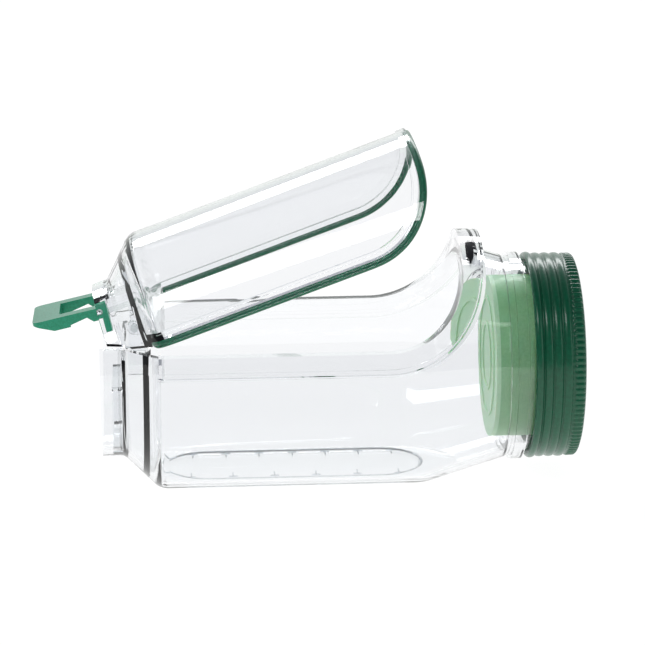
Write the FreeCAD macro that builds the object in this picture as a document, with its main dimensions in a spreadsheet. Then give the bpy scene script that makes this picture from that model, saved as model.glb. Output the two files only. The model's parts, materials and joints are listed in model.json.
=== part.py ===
"""A clear wide-mouth jar lying on its side: a half-shell lid hinged at the foot end,
a screw closure on the neck and a cup of its own hanging from the closure.

Millimetres.  +X runs along the jar from its foot to its closure, +Z is up, and the
origin is the middle of the flat panel that the jar rests on."""
import FreeCAD, Part
import math
import os
import Sketcher
from FreeCAD import Placement, Rotation, Vector

SIZES = {
    # vessel
    "axis_height": 49.5, "body_radius": 54.5, "wall": 2.8,
    "foot_radius": 39.5, "base_foot": -82.0, "lid_foot": -79.5, "bulkhead": -63.2,
    "bulkhead_thick": 2.5, "cone_start": -73.0, "cone_end": -57.5, "shoulder": 54.0,
    "long_shoulder": 76.0, "foot_round": 4.0, "cone_round": 9.0, "inner_round": 2.0,
    "shoulder_round": 24.0,
    "shoulder_end": 89.5, "shoulder_foot": 43.9, "neck_radius": 41.4, "neck_bore": 38.2,
    "neck_end": 116.7, "bead_radius": 44.7, "bead_start": 92.3, "bead_length": 4.8,
    # parting line between base and lid, seen from the side
    "rim": 64.6, "arch": 70.3, "arch_radius": 33.3, "top": 125.0, "far_left": -130.0,
    "width": 130.0, "band": 6.3, "second_band": 9.3, "band_radius": 55.1, "flange_inset": 4.6,
    "lid_gap": 1.9, "lid_band": 4.2, "sill_half": 48.0, "gasket_gap": 0.2,
    "gasket_height": 3.4, "gasket_out": 0.3, "gasket_in": 3.7, "gasket_end": -60.5,
    "gasket_open": 41.5,
    # shallow panel sunk in the inner floor
    "panel_length": 112.0, "panel_width": 38.0, "panel_depth": 0.6,
    # web across the foot, and the pocket on it
    "web_place": -72.5, "web_thick": 2.0, "web_top": 60.0,
    "pocket_width": 38.0, "pocket_low": 15.0, "pocket_high": 44.0, "pocket_depth": 5.0,
    "frame_wall": 2.0,
    # hinge of the lid
    "hinge_place": -66.5, "hinge_height": 70.0, "pin_radius": 1.5, "pin_play": 0.06,
    "ear_radius": 3.0, "ear_thick": 2.5, "lid_ear": 16.4, "base_ear": 19.3, "ear_root": 50.0,
    "ear_rise": 5.0, "opening_angle": 20.0, "heel_gap": 1.0, "heel_depth": 12.0,
    "heel_length": 40.0,
    # lever on the lid, in the pose it is stored in
    "lever_place": -81.5, "lever_height": 75.2, "lever_pin": 1.2, "lever_tilt": 12.8,
    "lever_half": 15.5, "lever_inner": 9.6, "lever_reach": 29.0, "lever_thick": 5.2,
    "lever_bridge": 11.5, "lever_root": 3.2, "lever_round": 3.0, "nose_thick": 1.4,
    "nose_length": 8.5, "step_place": 15.5, "step_height": 0.8, "leg_thin": 2.9,
    "thin_place": 6.0, "thick_place": 3.6, "hook_length": 8.7, "hook_thick": 2.6,
    "lug_half": 9.1, "lug_radius": 3.0, "slot_low": 70.0, "slot_top": 84.6, "slot_side": 16.3,
    # screw closure
    "cap_start": 99.6, "cap_end": 121.0, "cap_radius": 43.1, "cap_bore": 42.6,
    "lip_radius": 44.5, "lip_length": 3.4, "ridge_radius": 44.1, "ridge_length": 2.0,
    "first_ridge": 104.2, "ridge_step": 4.1, "knurl_start": 117.0, "knurl_radius": 43.5,
    "cap_return": 1.6, "cap_window": 37.4,
    "disc_start": 117.9, "disc_thick": 1.4, "disc_radius": 42.3,
    "seal_inner": 36.0, "seal_outer": 41.3,
    "cup_start": 85.6, "cup_radius": 34.8, "cup_wall": 2.0,
    "face_thick": 1.8, "ring_height": 0.5, "ring_width": 1.6,
    "wide_ring": 26.0, "narrow_ring": 15.0,
}

CONE_SLOPE = ((SIZES["body_radius"] - SIZES["foot_radius"])
              / (SIZES["cone_end"] - SIZES["cone_start"]))
LEAN = 0.4  # how far along X a wall's inner corner lies from its outer one, per unit inset
BITE = 0.5  # how far a joined form reaches into its neighbour
ALL_X, ALL_Y = (-130, 140), (-70, 70)  # beyond the jar on both sides, for cutting tools
UNDER, OVER = -30, 130

doc = FreeCAD.newDocument("side_lid_jar")
sheet = doc.addObject("Spreadsheet::Sheet", "Sheet")
for row, (alias, number) in enumerate(SIZES.items(), start=1):
    sheet.set(f"A{row}", alias)
    sheet.set(f"B{row}", str(number))
    sheet.setAlias(f"B{row}", alias)
doc.recompute()


class Dim:
    """A size: its number now, and the expression that ties it to the sheet."""

    def __init__(self, number, text):
        self.number = number
        self.text = text

    def __add__(self, other):
        other = as_dim(other)
        return Dim(self.number + other.number, f"({self.text} + {other.text})")

    def __sub__(self, other):
        other = as_dim(other)
        return Dim(self.number - other.number, f"({self.text} - {other.text})")

    def __mul__(self, factor):
        return Dim(self.number * factor, f"({self.text} * {factor})")

    def __neg__(self):
        return self * -1


def as_dim(value):
    return value if isinstance(value, Dim) else Dim(float(value), str(float(value)))


def size(alias):
    return Dim(SIZES[alias], f"Sheet.{alias}")


def bind(item, prop, value):
    """Set a property of an object to a size, tied to the sheet where it has one."""
    value = as_dim(value)
    item.setExpression(prop, value.text)


def place(item, x=0, y=0, z=0, axis=Vector(0, 0, 1), angle=0):
    """Put an object at x, y, z, turned by angle about axis."""
    item.Placement = Placement(Vector(0, 0, 0), Rotation(axis, angle))
    for letter, value in (("x", x), ("y", y), ("z", z)):
        bind(item, f"Placement.Base.{letter}", value)
    return item


def box(name, x, y, z):
    """A box from three (low, high) pairs."""
    item = doc.addObject("Part::Box", name)
    for prop, (low, high) in (("Length", x), ("Width", y), ("Height", z)):
        bind(item, prop, as_dim(high) - low)
    return place(item, x[0], y[0], z[0])


def rod(name, radius, start, end, along, x=0, y=0, z=0):
    """A cylinder along X or Y, from start to end on that axis."""
    item = doc.addObject("Part::Cylinder", name)
    bind(item, "Radius", radius)
    bind(item, "Height", as_dim(end) - start)
    if along == "X":
        return place(item, start, y, z, Vector(0, 1, 0), 90)
    return place(item, x, start, z, Vector(1, 0, 0), -90)


def cut(name, base, tool):
    item = doc.addObject("Part::Cut", name)
    item.Base = base
    item.Tool = tool
    return item


def common(name, first, second):
    item = doc.addObject("Part::Common", name)
    item.Base = first
    item.Tool = second
    return item


def fuse(name, *shapes):
    item = doc.addObject("Part::MultiFuse", name)
    item.Shapes = list(shapes)
    return item


def corner_arc(before, corner, after, radius):
    """The round of a corner: its centre, and where it leaves and meets the two lines."""
    back = (before - corner).normalize()
    ahead = (after - corner).normalize()
    half = back.getAngle(ahead) / 2
    run = radius / math.tan(half)
    middle = (back + ahead).normalize() * (radius / math.sin(half))
    turns_left = (corner - before).cross(after - corner).z > 0
    return corner + middle, corner + back * run, corner + ahead * run, turns_left


def outline_sketch(body, name, role, corners):
    """A closed outline with corners (u, v) or (u, v, round radius), tied to the sheet."""
    sketch = body.newObject("Sketcher::SketchObject", name)
    plane = [f for f in body.Origin.OriginFeatures if f.Role == role][0]
    sketch.AttachmentSupport = [(plane, "")]
    sketch.MapMode = "FlatFace"
    sizes = [tuple(as_dim(value) for value in corner) for corner in corners]
    points = [Vector(corner[0].number, corner[1].number, 0) for corner in sizes]
    count = len(points)
    starts, ends = list(points), points[1:] + points[:1]
    rounds = {}
    for index, corner in enumerate(sizes):
        if len(corner) == 3:
            found = corner_arc(points[index - 1], points[index], points[(index + 1) % count],
                               corner[2].number)
            rounds[index] = found
            ends[index - 1], starts[index] = found[1], found[2]
    for start, end in zip(starts, ends):
        sketch.addGeometry(Part.LineSegment(start, end), False)
    for index, corner in enumerate(sizes):
        previous = (index - 1) % count
        if index in rounds:
            tie_round(sketch, previous, index, points[index], rounds[index], corner)
        else:
            sketch.addConstraint(Sketcher.Constraint("Coincident", previous, 2, index, 1))
            tie_point(sketch, index, corner)
    return sketch


def tie_round(sketch, previous, index, point, found, corner):
    """Add the arc of a round corner, tangent to its lines, and the corner's own point."""
    centre, leaves, meets, turns_left = found
    first, last = (leaves, meets) if turns_left else (meets, leaves)
    circle = Part.Circle(centre, Vector(0, 0, 1), corner[2].number)
    arc = Part.ArcOfCircle(circle, circle.parameter(first), circle.parameter(last))
    arc_id = sketch.addGeometry(arc, False)
    on_leaving, on_meeting = (1, 2) if turns_left else (2, 1)
    sketch.addConstraint(Sketcher.Constraint("Tangent", previous, 2, arc_id, on_leaving))
    sketch.addConstraint(Sketcher.Constraint("Tangent", index, 1, arc_id, on_meeting))
    made = sketch.addConstraint(Sketcher.Constraint("Radius", arc_id, corner[2].number))
    sketch.setExpression(f"Constraints[{made}]", corner[2].text)
    point_id = sketch.addGeometry(Part.Point(point), True)
    for line in (previous, index):
        sketch.addConstraint(Sketcher.Constraint("PointOnObject", point_id, 1, line))
    tie_point(sketch, point_id, corner)


def tie_point(sketch, geometry, corner):
    """Hold the first point of a geometry at the corner's two sizes."""
    for kind, axis_line, value in (("DistanceX", -2, corner[0]), ("DistanceY", -1, corner[1])):
        if value.number == 0:
            sketch.addConstraint(Sketcher.Constraint("PointOnObject", geometry, 1, axis_line))
            continue
        made = sketch.addConstraint(Sketcher.Constraint(kind, -1, 1, geometry, 1, value.number))
        sketch.setExpression(f"Constraints[{made}]", value.text)


def turned(name, corners):
    """A body turned about the jar's axis from (x, radius) corners."""
    body = doc.addObject("PartDesign::Body", name)
    sketch = outline_sketch(body, f"{name}_outline", "XZ_Plane", corners)
    feature = body.newObject("PartDesign::Revolution", f"{name}_turn")
    feature.Profile = sketch
    feature.ReferenceAxis = (sketch, ["H_Axis"])
    feature.Angle = 360
    body.Tip = feature
    return place(body, 0, 0, size("axis_height"))


def vessel(name, inset, foot, shoulder, skirt=False):
    """The jar's turned form, smaller by inset all round, with or without the foot skirt."""
    wide = size("body_radius") - inset
    narrow = size("foot_radius") - inset
    cone_start = size("cone_start") + inset * LEAN
    cone_end = size("cone_end") + inset * LEAN
    if skirt:
        foot_corners = [(foot, 0), (foot, narrow), (cone_start, narrow, size("foot_round"))]
        cone_round = size("cone_round")
    else:
        foot_corners = [(foot, 0), (foot, narrow + (foot - cone_start) * CONE_SLOPE)]
        cone_round = size("inner_round")
    return turned(name, foot_corners + [
        (cone_end, wide, cone_round), (shoulder, wide, size("shoulder_round")),
        (size("shoulder_end"), size("shoulder_foot") - inset), (size("shoulder_end"), 0),
    ])


def prism(name, role, width, corners):
    """A body of even width, half each side of an origin plane, from its outline there."""
    body = doc.addObject("PartDesign::Body", name)
    sketch = outline_sketch(body, f"{name}_outline", role, corners)
    pad = body.newObject("PartDesign::Pad", f"{name}_pad")
    pad.Profile = sketch
    bind(pad, "Length", width)
    pad.Midplane = True
    body.Tip = pad
    return body


def side_prism(name, offset):
    """All that lies above the parting line, moved outward by offset: it runs level from
    the foot, and turns up through a quarter round into the arch."""
    low = size("rim") - offset
    right = size("arch") + offset
    return prism(name, "XZ_Plane", size("width"), [
        (size("far_left"), low), (right, low, size("arch_radius") + offset),
        (right, size("top")), (size("far_left"), size("top")),
    ])


def both_sides(name, make):
    """Two like shapes, one each side of the middle plane."""
    return fuse(name, make(f"{name}_near", -1), make(f"{name}_far", 1))


def ears(name, start, bore, foot_low, foot_high, stem=False):
    """A pair of hinge ears on a bulkhead, with bores for the hinge pins.  A stem carries
    the eye above a foot that ends short of it."""
    thick = size("ear_thick")

    def one(label, side):
        near = size(start) if side > 0 else -(size(start) + thick)
        span = (near, near + thick)
        plate = box(f"{label}_plate", (size("hinge_place"), size("bulkhead") + BITE), span,
                    (foot_low, foot_high))
        eye = rod(f"{label}_eye", size("ear_radius"), span[0], span[1], "Y",
                  size("hinge_place"), 0, size("hinge_height"))
        if not stem:
            return fuse(label, plate, eye)
        reach = size("ear_radius")
        post = box(f"{label}_post", (size("hinge_place") - reach, size("hinge_place") + reach),
                   span, (foot_low, size("hinge_height")))
        return fuse(label, plate, eye, post)
    pair = both_sides(f"{name}_pair", one)
    reach = size(start) + thick + 1
    hole = rod(f"{name}_bore", bore, -reach, reach, "Y", size("hinge_place"), 0,
               size("hinge_height"))
    return cut(name, pair, hole)


# vessel forms shared by the base, the lid and the gasket
wall = size("wall")
rim = size("rim")
outer = vessel("outer_form", as_dim(0), size("base_foot"), size("shoulder"), True)
room_start = size("bulkhead") + size("bulkhead_thick")
inner = vessel("inner_form", wall, room_start, size("shoulder"))
flange_inner = vessel("flange_inner_form", size("flange_inset"), room_start, size("shoulder"))
lid_outer = vessel("lid_outer_form", as_dim(0), size("lid_foot"), size("long_shoulder"), True)
lid_inner = vessel("lid_inner_form", wall, room_start, size("long_shoulder"))
lid_flange_inner = vessel("lid_flange_inner_form", size("flange_inset"), room_start,
                          size("long_shoulder"))


def copy_of(item):
    """A second object with the same shape, for another boolean."""
    twin = doc.addObject("Part::Compound", f"{item.Name}_again")
    twin.Links = [item]
    return twin


def finish(label, item, tilt=False):
    """Name a finished sub-part.  Tilted ones turn with the lid to its stored opening."""
    item.Label = label
    if tilt:
        hinge = Vector(SIZES["hinge_place"], 0, SIZES["hinge_height"])
        turn = Rotation(Vector(0, 1, 0), -SIZES["opening_angle"])
        item.Placement = Placement(Vector(0, 0, 0), turn, hinge)
    done.append(item)
    return item


def upright_rod(name, radius, x, low, high):
    item = doc.addObject("Part::Cylinder", name)
    bind(item, "Radius", radius)
    bind(item, "Height", as_dim(high) - low)
    return place(item, x, 0, low)


def stadium(name, length, width, low, high):
    """A flat bar with round ends, lying along X."""
    reach = (length - width) * 0.5
    middle = box(f"{name}_bar", (-reach, reach), (width * -0.5, width * 0.5), (low, high))
    ends = [upright_rod(f"{name}_end{i}", width * 0.5, reach * side, low, high)
            for i, side in enumerate((-1, 1))]
    return fuse(name, middle, *ends)


def base_shell():
    """The lower vessel: body, neck with its bead, rim flange, foot skirt and ears."""
    below = box("below_floor", ALL_X, ALL_Y, (UNDER, 0))
    under = box("below_inner_floor", ALL_X, ALL_Y, (UNDER, wall))
    body = cut("body_form", outer, below)
    room = cut("room_form", inner, under)
    flange_room = cut("flange_room_form", flange_inner, copy_of(under))
    neck_start = size("shoulder_end") - BITE
    neck = rod("neck_post", size("neck_radius"), neck_start, size("neck_end"), "X", 0, 0, axis)
    collar = rod("shoulder_ring", size("shoulder_foot") - 0.6, neck_start,
                 size("bead_start") + BITE, "X", 0, 0, axis)
    bead = rod("neck_bead", size("bead_radius"), size("bead_start"),
               size("bead_start") + size("bead_length"), "X", 0, 0, axis)
    blank = fuse("base_blank", body, neck, collar, bead)
    bore = rod("neck_bore_tool", size("neck_bore"), size("shoulder_end") - 6,
               size("neck_end") + 5, "X", 0, 0, axis)
    shell = cut("base_plain_shell", blank, fuse("base_hollow", room, bore))
    bands = []
    for name, reach, radius in (("band", size("band"), size("band_radius")),
                                ("second", size("second_band"), size("body_radius") + 0.3)):
        ring = rod(f"{name}_ring", radius, size("cone_end"), size("arch") + reach, "X", 0, 0, axis)
        bands.append(common(f"base_{name}", ring, side_prism(f"{name}_side", reach)))
    flange = cut("base_flange", fuse("base_bands", *bands), flange_room)
    skirt_room = foot_room("skirt_room")
    walls = cut("base_open_skirt", fuse("base_walls", shell, flange), skirt_room)
    lower = cut("base_lower", walls, side_prism("above_rim", as_dim(0)))
    base_ears = ears("base_ears", "base_ear", size("pin_radius"), size("ear_root"), rim - 1,
                     stem=True)
    panel = stadium("panel_recess", size("panel_length"), size("panel_width"),
                    wall - size("panel_depth"), wall + 1)
    whole = fuse("base_whole", lower, base_ears, foot_web(), pocket_frame())
    finish("base_shell", cut("base_done", whole, panel))


def foot_room(name):
    """The hollow of the foot, from its open end to the bulkhead."""
    form = vessel(f"{name}_form", wall, size("base_foot") - 1, size("shoulder"), True)
    part = box(f"{name}_part", (ALL_X[0], size("bulkhead")), ALL_Y, (UNDER, OVER))
    return common(name, form, part)


def foot_web():
    """The plate that closes the foot below the hinge."""
    start = size("web_place")
    disc = rod("web_disc", size("foot_radius") - wall * 0.5, start, start + size("web_thick"),
               "X", 0, 0, axis)
    part = box("web_part", (start, start + size("web_thick")), ALL_Y, (0, size("web_top")))
    return common("foot_web", disc, part)


def pocket_frame():
    """The raised frame on the foot web, round the pocket in the foot end."""
    half, edge = size("pocket_width") * 0.5, size("frame_wall")
    low, high = size("pocket_low"), size("pocket_high")
    back = size("web_place")
    solid = box("pocket_block", (back - size("pocket_depth"), back + BITE), (-half, half),
                (low, high))
    hole = box("pocket_hole", (back - size("pocket_depth") - 1, back + 0.1),
               (-half + edge, half - edge), (low + edge, high - edge))
    return cut("pocket_frame", solid, hole)


def lid_shell():
    """The half shell that covers the body: arch at the neck end, skirt at the foot."""
    gap = size("lid_gap")
    shell = cut("lid_plain_shell", lid_outer, lid_inner)
    band_prism = cut("lid_band_side", side_prism("lid_low_side", -gap),
                     side_prism("lid_high_side", -(gap + size("lid_band"))))
    ring = rod("lid_band_ring", size("body_radius") + 0.8, size("cone_end"), size("arch"), "X",
               0, 0, axis)
    flange = cut("lid_flange", common("lid_band", ring, band_prism), lid_flange_inner)
    sill_half = size("sill_half")
    across = box("lid_sill", (size("bulkhead"), size("gasket_end") + size("gasket_height") + 2),
                 (-sill_half, sill_half), (rim + gap, rim + gap + size("lid_band")))
    sill = common("lid_sill_in_form", across, copy_of(lid_outer))
    walls = cut("lid_walls", fuse("lid_blank", shell, flange, sill), foot_room("lid_skirt_room"))
    upper = common("lid_upper", walls, side_prism("lid_side", -gap))
    lid_ears = ears("lid_ears", "lid_ear", size("pin_radius") + size("pin_play"),
                    rim + gap, size("hinge_height") + size("ear_rise"))
    lug = lever_lug()
    whole = fuse("lid_whole", upper, lid_ears, lug)
    hole = closed_rod("lid_lever_hole", size("lever_pin"), 20)
    slots = both_sides("lever_slots", lever_slot)
    tools = fuse("lid_tools", hole, slots, heel_relief(), gasket_form("groove"))
    finish("lid_shell", cut("lid_done", whole, tools), tilt=True)


def lever_slot(label, side):
    """Room for one leg of the lever under the lid's skirt."""
    near, far = size("lug_half"), size("slot_side")
    span = (near, far) if side > 0 else (-far, -near)
    return box(label, (size("lid_foot") - 1, size("web_place")), span,
               (size("slot_low"), size("slot_top")))


def heel_relief():
    """What is cut off under the lid's heel, so that it lies level on the foot when open."""
    drop = SIZES["hinge_height"] - SIZES["rim"] - SIZES["heel_gap"]
    wedge = box("heel_wedge", (0, size("heel_length")), ALL_Y, (0, size("heel_depth")))
    corner = Vector(-SIZES["heel_length"], ALL_Y[0], -drop - SIZES["heel_depth"])
    turn = Rotation(Vector(0, 1, 0), SIZES["opening_angle"])
    start = Vector(SIZES["hinge_place"], 0, SIZES["hinge_height"]) + turn.multVec(corner)
    place(wedge, start.x, start.y, start.z, Vector(0, 1, 0), SIZES["opening_angle"])
    below = box("heel_part", (ALL_X[0], size("hinge_place")), ALL_Y, (0, OVER))
    return common("heel_relief", wedge, below)


def closed_lever_point():
    """The lever's pivot in the lid's closed pose, from its stored place."""
    hinge = Vector(SIZES["hinge_place"], 0, SIZES["hinge_height"])
    stored = Vector(SIZES["lever_place"], 0, SIZES["lever_height"])
    back = Rotation(Vector(0, 1, 0), SIZES["opening_angle"])
    return hinge + back.multVec(stored - hinge)


def closed_rod(name, radius, half):
    point = closed_lever_point()
    return rod(name, radius, -half, as_dim(half), "Y", point.x, 0, point.z)


def lever_lug():
    """The block on the lid's bulkhead that the lever straddles."""
    point = closed_lever_point()
    half = size("lug_half")
    radius = size("lug_radius")
    bar = box("lug_bar", (point.x, size("bulkhead") + BITE), (-half, half),
              (as_dim(point.z) - radius, as_dim(point.z) + radius))
    nose = rod("lug_nose", radius, -half, half, "Y", point.x, 0, point.z)
    return fuse("lever_lug", bar, nose)


def gasket_form(name):
    """The cord under the lid's flange: over the arch, along both sides, and turned in a
    little way at the foot, where its two ends lie apart."""
    high = size("gasket_gap") + size("gasket_height")
    level = cut(f"{name}_level", side_prism(f"{name}_low", -size("gasket_gap")),
                side_prism(f"{name}_high", -high))
    foot = size("gasket_end")
    ring_out = vessel(f"{name}_outer", size("gasket_out"), foot, size("long_shoulder"))
    ring_in = vessel(f"{name}_inner", size("gasket_in"), foot + size("gasket_height"),
                     size("long_shoulder"))
    ring = cut(f"{name}_ring", ring_out, ring_in)
    half = size("gasket_open")
    between = box(f"{name}_between", (ALL_X[0], 0), (-half, half), (0, OVER))
    return common(name, cut(f"{name}_open_ring", ring, between), level)


def lid_gasket():
    finish("lid_gasket", gasket_form("gasket"), tilt=True)


def hinge_pins():
    """Two stub pins, pressed in the base's ears; the lid's ears turn on them."""
    def one(label, side):
        near = size("lid_ear")
        far = size("base_ear") + size("ear_thick")
        span = (near, far) if side > 0 else (-far, -near)
        return rod(label, size("pin_radius"), span[0], span[1], "Y", size("hinge_place"), 0,
                   size("hinge_height"))
    finish("hinge_pins", both_sides("hinge_pin_pair", one))


def lever_plate():
    """The lever's blank: a wedge nose with round corners, a step, then thinner legs."""
    reach, root, half = size("lever_reach"), size("lever_root"), size("lever_half")
    top = size("lever_thick") * 0.5
    step = -reach + size("step_place")
    side = prism("lever_side", "XZ_Plane", half * 2, [
        (-reach, top - size("nose_thick")), (-reach + size("nose_length"), -top), (step, -top),
        (step, -top + size("step_height")), (-size("thin_place"), top - size("leg_thin")),
        (-size("thick_place"), -top), (root, -top), (root, top), (-reach, top),
    ])
    corner = size("lever_round")
    plan = prism("lever_plan", "XY_Plane", size("lever_thick") * 2, [
        (-reach, -half, corner), (root, -half), (root, half), (-reach, half, corner),
    ])
    return common("lever_plate", side, plan)


def latch_lever():
    """A loop with two legs that straddle the lug, and a hook inside the foot skirt."""
    half, inner_half = size("lever_half"), size("lever_inner")
    top, root = size("lever_thick") * 0.5, size("lever_root")
    window = box("lever_window", (-size("lever_reach") + size("lever_bridge"), root * 2),
                 (-inner_half, inner_half), (UNDER, size("lever_thick")))
    hook = box("lever_hook", (root - size("hook_thick"), root), (-half, half),
               (-size("hook_length"), top))
    bore = rod("lever_bore", size("lever_pin") + size("pin_play"), -half - 1, half + 1, "Y")
    body = fuse("lever_blank", lever_plate(), hook)
    lever = cut("lever_done", body, fuse("lever_cuts", window, bore))
    lever.Placement = Placement(Vector(SIZES["lever_place"], 0, SIZES["lever_height"]),
                                Rotation(Vector(0, 1, 0), -SIZES["lever_tilt"]))
    finish("latch_lever", lever)


def latch_pin():
    half = size("lever_half") - BITE
    pin = rod("lever_pin_rod", size("lever_pin"), -half, half, "Y", size("lever_place"), 0,
              size("lever_height"))
    finish("latch_pin", pin)


def cap_band():
    """The screw ring: rolled lip, three ridges, a knurled end and a return over the disc."""
    tube = rod("cap_tube", size("cap_radius"), size("cap_start"), size("cap_end"), "X", 0, 0, axis)
    rings = [rod("cap_lip", size("lip_radius"), size("cap_start"),
                 size("cap_start") + size("lip_length"), "X", 0, 0, axis)]
    for index in range(3):
        start = size("first_ridge") + size("ridge_step") * index
        rings.append(rod(f"cap_ridge{index}", size("ridge_radius"), start,
                         start + size("ridge_length"), "X", 0, 0, axis))
    rings.append(rod("knurl_ring", size("knurl_radius"), size("knurl_start"), size("cap_end"),
                     "X", 0, 0, axis))
    bore = rod("cap_bore_tool", size("cap_bore"), size("cap_start") - 1,
               size("cap_end") - size("cap_return"), "X", 0, 0, axis)
    window = rod("cap_window_tool", size("cap_window"), size("cap_start"),
                 size("cap_end") + 1, "X", 0, 0, axis)
    finish("cap_band", cut("cap_band_done", fuse("cap_blank", tube, *rings),
                           fuse("cap_tools", bore, window)))


def closure_insert():
    """What the ring clamps and carries: disc, seal, cup and the cup's pale face."""
    start = size("disc_start")
    finish("cap_disc", rod("cap_disc_plate", size("disc_radius"), start,
                           start + size("disc_thick"), "X", 0, 0, axis))
    seal = rod("seal_plate", size("seal_outer"), size("neck_end"), start, "X", 0, 0, axis)
    seal_hole = rod("seal_hole", size("seal_inner"), size("neck_end") - 1, start + 1, "X",
                    0, 0, axis)
    finish("cap_seal", cut("seal_done", seal, seal_hole))
    cup = rod("cup_solid", size("cup_radius"), size("cup_start"), start, "X", 0, 0, axis)
    room = rod("cup_room", size("cup_radius") - size("cup_wall"),
               size("cup_start") - 1, start - size("cup_wall"), "X", 0, 0, axis)
    finish("insert_cup", cut("cup_done", cup, room))
    face_start = size("cup_start") - size("face_thick")
    disc = rod("face_disc", size("cup_radius"), face_start, size("cup_start"), "X", 0, 0, axis)
    rings = [disc]
    for index, radius in enumerate((size("wide_ring"), size("narrow_ring"))):
        ring = rod(f"face_ring{index}", radius, face_start - size("ring_height"),
                   face_start + 0.2, "X", 0, 0, axis)
        hole = rod(f"face_ring_hole{index}", radius - size("ring_width"), face_start - 2,
                   face_start + 1, "X", 0, 0, axis)
        rings.append(cut(f"face_ring_done{index}", ring, hole))
    finish("insert_face", fuse("face_done", *rings))


axis = size("axis_height")
done = []
base_shell()
lid_shell()
lid_gasket()
hinge_pins()
latch_lever()
latch_pin()
cap_band()
closure_insert()
doc.recompute()

for item in doc.Objects:
    if "Invalid" in item.State or "Error" in item.State:
        raise RuntimeError(f"{item.Name}: {item.State}")
os.makedirs("parts", exist_ok=True)
for item in done:
    shape = item.Shape
    if shape.isNull() or not shape.isValid():
        raise RuntimeError(f"{item.Label} has no valid shape")
    shape.exportStep(f"parts/{item.Label}.step")
    print(item.Label, "solids", len(shape.Solids), "volume", round(shape.Volume), shape.BoundBox)
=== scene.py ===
"""Looks of the side-lid jar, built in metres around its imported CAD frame."""
import json
import math

import bmesh
import bpy
from mathutils import Matrix, Vector


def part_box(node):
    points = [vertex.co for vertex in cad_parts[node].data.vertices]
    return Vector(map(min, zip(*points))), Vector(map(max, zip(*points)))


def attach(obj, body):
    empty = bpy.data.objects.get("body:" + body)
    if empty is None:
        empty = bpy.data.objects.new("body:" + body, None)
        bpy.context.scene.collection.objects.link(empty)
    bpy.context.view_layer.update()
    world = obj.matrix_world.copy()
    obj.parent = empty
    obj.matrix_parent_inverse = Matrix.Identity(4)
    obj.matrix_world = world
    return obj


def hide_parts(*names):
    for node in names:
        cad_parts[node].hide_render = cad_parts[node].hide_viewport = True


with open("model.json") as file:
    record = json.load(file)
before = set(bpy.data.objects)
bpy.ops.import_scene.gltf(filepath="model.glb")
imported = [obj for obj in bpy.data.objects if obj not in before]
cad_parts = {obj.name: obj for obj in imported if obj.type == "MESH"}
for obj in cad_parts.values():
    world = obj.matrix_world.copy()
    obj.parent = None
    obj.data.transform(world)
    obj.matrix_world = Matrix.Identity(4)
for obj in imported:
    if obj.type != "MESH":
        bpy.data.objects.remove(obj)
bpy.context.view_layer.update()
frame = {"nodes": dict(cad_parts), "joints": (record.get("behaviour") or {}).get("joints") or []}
MM = 0.001

# places that the pieces share: the first two are read from the frame
AXIS_Z = (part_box("cap_disc")[0][2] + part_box("cap_disc")[1][2]) / 2
HINGE = next(j for j in frame["joints"] if j["name"] == "lid_hinge")["pos_m"]
OPENING = math.radians(20)
RIM_Z = 64.6 * MM
PANEL_Z = 2.2 * MM  # inner floor of the base's panel recess
GASKET_RING = 52.5 * MM  # radius of the cord's centre line about the jar's axis
RIB_MEAN = 0.6  # part of a rib's height that lies below the ring's own radius


# ---------------------------------------------------------------- materials

def new_material(name):
    """A node material, with its nodes, links and main shader."""
    material = bpy.data.materials.new(name)
    material.use_nodes = True
    nodes, links = material.node_tree.nodes, material.node_tree.links
    return material, nodes, links, nodes["Principled BSDF"]


def add_bump(nodes, links, shader, scale, strength, distance, detail=3.0):
    """A fine moulded unevenness on a shader's normal."""
    place = nodes.new("ShaderNodeTexCoord")
    noise = nodes.new("ShaderNodeTexNoise")
    noise.inputs["Scale"].default_value = scale
    noise.inputs["Detail"].default_value = detail
    bump = nodes.new("ShaderNodeBump")
    bump.inputs["Strength"].default_value = strength
    bump.inputs["Distance"].default_value = distance
    links.new(place.outputs["Object"], noise.inputs["Vector"])
    links.new(noise.outputs["Fac"], bump.inputs["Height"])
    links.new(bump.outputs["Normal"], shader.inputs["Normal"])
    return noise


def add_variation(nodes, links, shader, noise, dark, light):
    """A slight change of colour over the surface."""
    ramp = nodes.new("ShaderNodeValToRGB")
    ramp.color_ramp.elements[0].position = 0.35
    ramp.color_ramp.elements[1].position = 0.7
    ramp.color_ramp.elements[0].color = (*dark, 1)
    ramp.color_ramp.elements[1].color = (*light, 1)
    links.new(noise.outputs["Fac"], ramp.inputs["Fac"])
    links.new(ramp.outputs["Color"], shader.inputs["Base Color"])


def clear_plastic(name, tint, roughness):
    """Clear rigid plastic.  Shadow rays pass through it, as light does through the real one."""
    material, nodes, links, shader = new_material(name)
    shader.inputs["Base Color"].default_value = (*tint, 1)
    shader.inputs["Roughness"].default_value = roughness
    shader.inputs["IOR"].default_value = 1.46
    shader.inputs["Transmission Weight"].default_value = 1.0
    add_bump(nodes, links, shader, 28, 0.05, 0.0015, 1.0)
    through = nodes.new("ShaderNodeBsdfTransparent")
    through.inputs["Color"].default_value = (0.93, 0.95, 0.95, 1)
    mix = nodes.new("ShaderNodeMixShader")
    path = nodes.new("ShaderNodeLightPath")
    links.new(path.outputs["Is Shadow Ray"], mix.inputs["Fac"])
    links.new(shader.outputs["BSDF"], mix.inputs[1])
    links.new(through.outputs["BSDF"], mix.inputs[2])
    links.new(mix.outputs["Shader"], nodes["Material Output"].inputs["Surface"])
    return material


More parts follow.
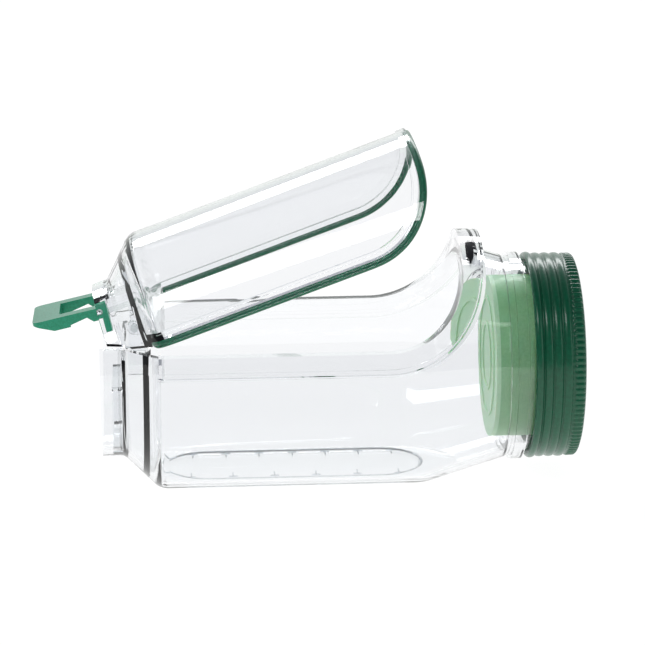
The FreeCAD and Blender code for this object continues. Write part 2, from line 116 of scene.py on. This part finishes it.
def moulded(name, dark, light, roughness, coat, bump_scale, subsurface=0.0):
    """Opaque moulded plastic or rubber."""
    material, nodes, links, shader = new_material(name)
    shader.inputs["Roughness"].default_value = roughness
    shader.inputs["Coat Weight"].default_value = coat
    shader.inputs["Coat Roughness"].default_value = 0.12
    shader.inputs["Specular IOR Level"].default_value = 0.35
    shader.inputs["Subsurface Weight"].default_value = subsurface
    shader.inputs["Subsurface Scale"].default_value = 0.004
    noise = add_bump(nodes, links, shader, bump_scale, 0.12, 0.0004)
    add_variation(nodes, links, shader, noise, dark, light)
    return material


CLEAR = clear_plastic("clear_plastic", (0.93, 0.938, 0.948), 0.012)
# Painted shade: a darker, duller copy of the clear plastic, so the raised marks and the panel's
# border read grey as shaded clear edges do.
SHADED_MARKS = clear_plastic("clear_marks_painted_shade", (0.62, 0.66, 0.70), 0.15)
GASKET = moulded("gasket_rubber", (0.001, 0.10, 0.045), (0.002, 0.15, 0.068), 0.32, 0.3, 900)
CAP = moulded("cap_plastic", (0.0003, 0.085, 0.036), (0.0006, 0.11, 0.048), 0.28, 0.25, 700)
LEVER = moulded("lever_plastic", (0.010, 0.27, 0.14), (0.018, 0.36, 0.20), 0.38, 0.2, 1400)
CUP = moulded("insert_plastic", (0.22, 0.50, 0.23), (0.28, 0.58, 0.29), 0.40, 0.1, 1100, 0.2)
FACE = moulded("insert_face_plastic", (0.44, 0.72, 0.45), (0.52, 0.79, 0.53), 0.45, 0.1, 1100, 0.2)
SEAL = moulded("seal_rubber", (0.62, 0.64, 0.60), (0.72, 0.73, 0.70), 0.6, 0.0, 900)
PIN = moulded("pin_plastic", (0.72, 0.76, 0.77), (0.80, 0.83, 0.84), 0.3, 0.2, 900)


def dress(node, material):
    """Give a carried-over node its material."""
    mesh = frame["nodes"][node].data
    mesh.materials.clear()
    mesh.materials.append(material)


# ---------------------------------------------------------------- mesh helpers

def link(name, mesh, material, body, smooth=True):
    """Put a new mesh in the scene, riding on a body, with its material and slot."""
    piece = bpy.data.objects.new(name, mesh)
    bpy.context.scene.collection.objects.link(piece)
    mesh.materials.append(material)
    for face in mesh.polygons:
        face.use_smooth = smooth
    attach(piece, body)
    return piece


def lathe(name, profile, segments, material, body, ribs=None):
    """A closed ring turned about the jar's axis from a closed (x, radius, ribbed) profile.
    With ribs, a (count, height) pair, the ribbed points swell into ribs round the ring."""
    mesh = bpy.data.meshes.new(name)
    form = bmesh.new()
    rings = []
    for step in range(segments):
        angle = 2 * math.pi * step / segments
        ring = []
        for x, radius, ribbed in profile:
            if ribs and ribbed:
                rib_count, rib_height = ribs
                radius += rib_height * (abs(math.cos(rib_count * angle / 2)) - RIB_MEAN)
            ring.append(form.verts.new((x, radius * math.sin(angle),
                                        AXIS_Z + radius * math.cos(angle))))
        rings.append(ring)
    count = len(profile)
    for step in range(segments):
        near, far = rings[step], rings[(step + 1) % segments]
        for index in range(count):
            after = (index + 1) % count
            form.faces.new((near[index], near[after], far[after], far[index]))
    bmesh.ops.recalc_face_normals(form, faces=form.faces)
    form.to_mesh(mesh)
    form.free()
    return link(name, mesh, material, body)


def bump_arc(centre, half, base, height, steps=8):
    """Points of a round ridge on a profile, none of them ribbed."""
    points = []
    for step in range(steps + 1):
        along = -1 + 2 * step / steps
        points.append((centre + half * along,
                       base + height * math.sqrt(max(0.0, 1 - along * along)), False))
    return points


# ---------------------------------------------------------------- the screw ring

def cap_ring():
    """The screw ring: a rolled lip, three ridges, a knurled end and a return inwards."""
    low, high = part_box("cap_band")
    start, end = low[0], high[0]
    body, bore, window = 43.1 * MM, 42.65 * MM, 37.4 * MM
    lip_centre, lip_half, lip_height = start + 1.75 * MM, 1.7 * MM, 1.35 * MM
    first_ridge, ridge_step, ridge_count = start + 5.7 * MM, 4.1 * MM, 3
    ridge_half, ridge_height, round_steps = 1.8 * MM, 0.95 * MM, 12
    outer = bump_arc(lip_centre, lip_half, body, lip_height, round_steps)
    for index in range(ridge_count):
        outer += bump_arc(first_ridge + ridge_step * index, ridge_half, body, ridge_height,
                          round_steps)
    knurl = start + 16.6 * MM
    outer += [
        (knurl, body, False),
        (knurl + 0.3 * MM, body + 0.3 * MM, True),
        (knurl + 0.8 * MM, body + 0.45 * MM, True),
        (end - 1.2 * MM, body + 0.4 * MM, True),
        (end - 0.5 * MM, body - 0.1 * MM, True),
        (end, body - 1.3 * MM, False),
    ]
    inner = [
        (end, window, False),
        (end - 1.5 * MM, window, False),
        (end - 1.6 * MM, bore, False),
        (start + 0.2 * MM, bore, False),
    ]
    rib_count, rib_height, points_per_rib = 108, 0.55 * MM, 8
    ring = lathe("screw_ring", outer + inner, rib_count * points_per_rib, CAP, "ring",
                 ribs=(rib_count, rib_height))
    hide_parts("cap_band")


# ---------------------------------------------------------------- the lid's gasket

def opened(point):
    """A point of the closed lid, turned to the lid's stored opening."""
    x, z = point[0] - HINGE[0], point[2] - HINGE[2]
    c, s = math.cos(OPENING), math.sin(OPENING)
    return Vector((HINGE[0] + x * c - z * s, point[1], HINGE[2] + x * s + z * c))


def gasket_side(x, z):
    """How far from the middle plane the cord runs at x, z: it narrows with the foot's cone."""
    cone_x, cone_slope = -56.7 * MM, 0.968
    reach = GASKET_RING - max(0.0, cone_x - x) * cone_slope
    return math.sqrt(max(reach * reach - (z - AXIS_Z) ** 2, 0))


def gasket_path():
    """Half the cord's centre line on the closed lid, from its turned-in end to the arch's crown."""
    level = RIM_Z + 1.9 * MM
    foot_x, arch_x, turn = -58.8 * MM, 68.4 * MM, 31.4 * MM
    side_start = foot_x + 1.2 * MM
    side_run = arch_x - turn - side_start
    side_steps, turn_steps, crown_steps = 15, 12, 8
    corner = gasket_side(foot_x, level)
    points = []
    for inward in (5.6 * MM, 3.4 * MM, 1.4 * MM):
        points.append(Vector((foot_x, corner - inward, level)))
    for k in range(side_steps):
        x = side_start + side_run * k / side_steps
        points.append(Vector((x, gasket_side(x, level), level)))
    for k in range(turn_steps + 1):
        angle = math.pi / 2 * k / turn_steps
        x = arch_x - turn + turn * math.sin(angle)
        z = level + turn - turn * math.cos(angle)
        points.append(Vector((x, gasket_side(x, z), z)))
    crown = math.atan2(points[-1].y, points[-1].z - AXIS_Z)
    for k in range(1, crown_steps + 1):
        angle = crown * (1 - k / crown_steps)
        points.append(Vector((arch_x, GASKET_RING * math.sin(angle),
                              AXIS_Z + GASKET_RING * math.cos(angle))))
    return points


def gasket():
    """The cord: a round section swept along the path on both sides, its two ends at the foot."""
    near = gasket_path()
    far = [Vector((p.x, -p.y, p.z)) for p in reversed(near[:-1])]
    loop = [opened(p) for p in near + far]
    curve = bpy.data.curves.new("gasket_cord", "CURVE")
    curve.dimensions = "3D"
    curve.bevel_depth = 1.68 * MM
    curve.bevel_resolution = 5
    curve.resolution_u = 4
    spline = curve.splines.new("NURBS")
    spline.points.add(len(loop) - 1)
    for target, point in zip(spline.points, loop):
        target.co = (*point, 1)
    spline.use_endpoint_u = True
    spline.order_u = 3
    curve.use_fill_caps = True
    made = bpy.data.objects.new("gasket_line", curve)
    bpy.context.scene.collection.objects.link(made)
    swept = made.evaluated_get(bpy.context.evaluated_depsgraph_get())
    mesh = bpy.data.meshes.new_from_object(swept)
    bpy.data.objects.remove(made)
    mesh.name = "gasket_cord"
    piece = link("gasket_cord", mesh, GASKET, "lid")
    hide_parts("lid_gasket")


# ---------------------------------------------------------------- marks on the panel

def bar(form, centre, half):
    """One raised bar as a box in a bmesh, to be bevelled with the rest."""
    made = bmesh.ops.create_cube(form, size=1.0)["verts"]
    for vert in made:
        vert.co = Vector((centre[0] + vert.co.x * 2 * half[0],
                          centre[1] + vert.co.y * 2 * half[1],
                          centre[2] + vert.co.z * 2 * half[2]))


def fill_marks():
    """Two rows of short raised marks inside the panel, at two spacings."""
    row_y, stroke_y = 16.0 * MM, 13.4 * MM
    long_half, thin_half, flat_half, height_half = 1.9 * MM, 0.3 * MM, 0.35 * MM, 0.3 * MM
    centre_z = PANEL_Z + 0.25 * MM
    form = bmesh.new()
    for side, spacing, count in ((1, 14.5 * MM, 7), (-1, 17.8 * MM, 6)):
        for index in range(count):
            x = (index - (count - 1) / 2) * spacing
            bar(form, (x, side * row_y, centre_z), (long_half, flat_half, height_half))
            bar(form, (x, side * stroke_y, centre_z), (thin_half, long_half, height_half))
    mesh = bpy.data.meshes.new("fill_marks")
    form.to_mesh(mesh)
    form.free()
    # the marks take the clear plastic's darker copy, painted shade
    piece = link("fill_marks", mesh, SHADED_MARKS, "base", smooth=False)
    bevel = piece.modifiers.new("round", "BEVEL")
    bevel.width = 0.12 * MM
    bevel.segments = 2


def panel_border():
    """The raised line round the panel: a stadium of two half rounds."""
    reach, radius, end_steps = 37.0 * MM, 18.7 * MM, 16
    border = bpy.data.curves.new("panel_border", "CURVE")
    border.dimensions = "3D"
    border.bevel_depth = 0.55 * MM
    border.bevel_resolution = 3
    points = []
    for sign in (1, -1):
        for k in range(end_steps + 1):
            angle = -math.pi / 2 + math.pi * k / end_steps
            points.append((sign * (reach + radius * math.cos(angle)),
                           sign * radius * math.sin(angle), PANEL_Z + 0.15 * MM))
    spline = border.splines.new("POLY")
    spline.points.add(len(points) - 1)
    for target, point in zip(spline.points, points):
        target.co = (*point, 1)
    spline.use_cyclic_u = True
    line = bpy.data.objects.new("panel_border", border)
    bpy.context.scene.collection.objects.link(line)
    # the border takes the clear plastic's darker copy, painted shade
    border.materials.append(SHADED_MARKS)
    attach(line, "base")


# ---------------------------------------------------------------- carried-over nodes

def soften(node, width):
    """Round a carried-over node's sharp edges with modifiers only."""
    piece = frame["nodes"][node]
    weld = piece.modifiers.new("weld", "WELD")
    weld.merge_threshold = 0.00001
    bevel = piece.modifiers.new("round", "BEVEL")
    bevel.width = width
    bevel.segments = 3
    bevel.limit_method = "ANGLE"
    bevel.angle_limit = math.radians(35)


# ---------------------------------------------------------------- stage, light, camera

def stage():
    """A pale floor that glows a little, so it stays even and near white behind the clear walls."""
    bpy.ops.mesh.primitive_plane_add(size=8.0, location=(0, 0, -0.0004))
    floor = bpy.context.object
    floor.name = "floor"
    material, _, _, shader = new_material("floor_pale")
    shader.inputs["Base Color"].default_value = (0.10, 0.10, 0.10, 1)
    shader.inputs["Roughness"].default_value = 0.9
    shader.inputs["Specular IOR Level"].default_value = 0.0
    shader.inputs["Emission Color"].default_value = (1, 1, 1, 1)
    shader.inputs["Emission Strength"].default_value = 0.975
    floor.data.materials.append(material)


def area_light(name, place, size, power):
    """A rectangular lamp of (width, height) size, aimed at the middle of the jar."""
    aim = Vector((0, 0, 0.06))
    data = bpy.data.lights.new(name, "AREA")
    data.shape = "RECTANGLE"
    data.size, data.size_y = size
    data.energy = power
    lamp = bpy.data.objects.new(name, data)
    lamp.location = place
    lamp.rotation_euler = (aim - Vector(place)).to_track_quat("-Z", "Y").to_euler()
    bpy.context.scene.collection.objects.link(lamp)


def world_ramp(nodes, links, source, stops):
    """A ramp from source through (place, grey) stops; darker greys are a little bluer."""
    ramp = nodes.new("ShaderNodeValToRGB")
    while len(ramp.color_ramp.elements) < len(stops):
        ramp.color_ramp.elements.new(0.5)
    for element, (place, grey) in zip(ramp.color_ramp.elements, stops):
        element.position = place
        element.color = (grey, grey * 1.02, grey * (1.25 - 0.25 * grey), 1)
    links.new(source, ramp.inputs["Fac"])
    return ramp


def lights():
    """Bright behind the jar and dim in front of and above it, so clear edges read dark."""
    world = bpy.data.worlds.new("studio")
    bpy.context.scene.world = world
    world.use_nodes = True
    nodes, links = world.node_tree.nodes, world.node_tree.links
    place = nodes.new("ShaderNodeTexCoord")
    split = nodes.new("ShaderNodeSeparateXYZ")
    links.new(place.outputs["Generated"], split.inputs["Vector"])
    depth = nodes.new("ShaderNodeMapRange")
    depth.inputs["From Min"].default_value = -1.0
    links.new(split.outputs["Y"], depth.inputs["Value"])
    back = world_ramp(nodes, links, depth.outputs["Result"],
                      ((0.0, 0.24), (0.45, 0.28), (0.72, 0.85), (1.0, 1.0)))
    sky = world_ramp(nodes, links, split.outputs["Z"], ((0.0, 1.0), (0.45, 0.75), (0.9, 0.3)))
    mix = nodes.new("ShaderNodeMix")
    mix.data_type = "RGBA"
    mix.blend_type = "MULTIPLY"
    mix.inputs["Factor"].default_value = 1.0
    links.new(back.outputs["Color"], mix.inputs["A"])
    links.new(sky.outputs["Color"], mix.inputs["B"])
    links.new(mix.outputs["Result"], nodes["Background"].inputs["Color"])
    nodes["Background"].inputs["Strength"].default_value = 1.0
    area_light("key", (-0.35, -0.65, 1.0), (0.5, 0.25), 2.6)
    area_light("fill", (1.0, -0.6, 0.5), (0.2, 0.8), 1.1)
    area_light("back", (0.1, 1.1, 0.9), (1.4, 0.3), 9)


def camera():
    """A long lens from the side and a little above, with a slight roll."""
    azimuth, elevation, roll = math.radians(3.4), math.radians(13.9), math.radians(-0.36)
    target = Vector((0.0131, 0.0024, 0.0650))
    distance = 1.2
    ahead = Vector((math.sin(azimuth) * math.cos(elevation),
                    math.cos(azimuth) * math.cos(elevation), -math.sin(elevation)))
    right = Vector((math.cos(azimuth), -math.sin(azimuth), 0))
    up = right.cross(ahead)
    level_right = right * math.cos(roll) + up * math.sin(roll)
    level_up = up * math.cos(roll) - right * math.sin(roll)
    data = bpy.data.cameras.new("camera")
    data.sensor_width = 36.0
    data.lens = 155.8
    view = bpy.data.objects.new("camera", data)
    turn = Matrix((level_right, level_up, -ahead)).transposed().to_4x4()
    view.matrix_world = Matrix.Translation(target - ahead * distance) @ turn
    bpy.context.scene.collection.objects.link(view)
    bpy.context.scene.camera = view


dress("base_shell", CLEAR)
dress("lid_shell", CLEAR)
dress("hinge_pins", PIN)
dress("latch_pin", PIN)
dress("latch_lever", LEVER)
dress("cap_disc", CAP)
dress("cap_seal", SEAL)
dress("insert_cup", CUP)
dress("insert_face", FACE)
soften("latch_lever", 0.9 * MM)
cap_ring()
gasket()
fill_marks()
panel_border()
stage()
lights()
camera()
bpy.context.scene.view_settings.view_transform = "Standard"
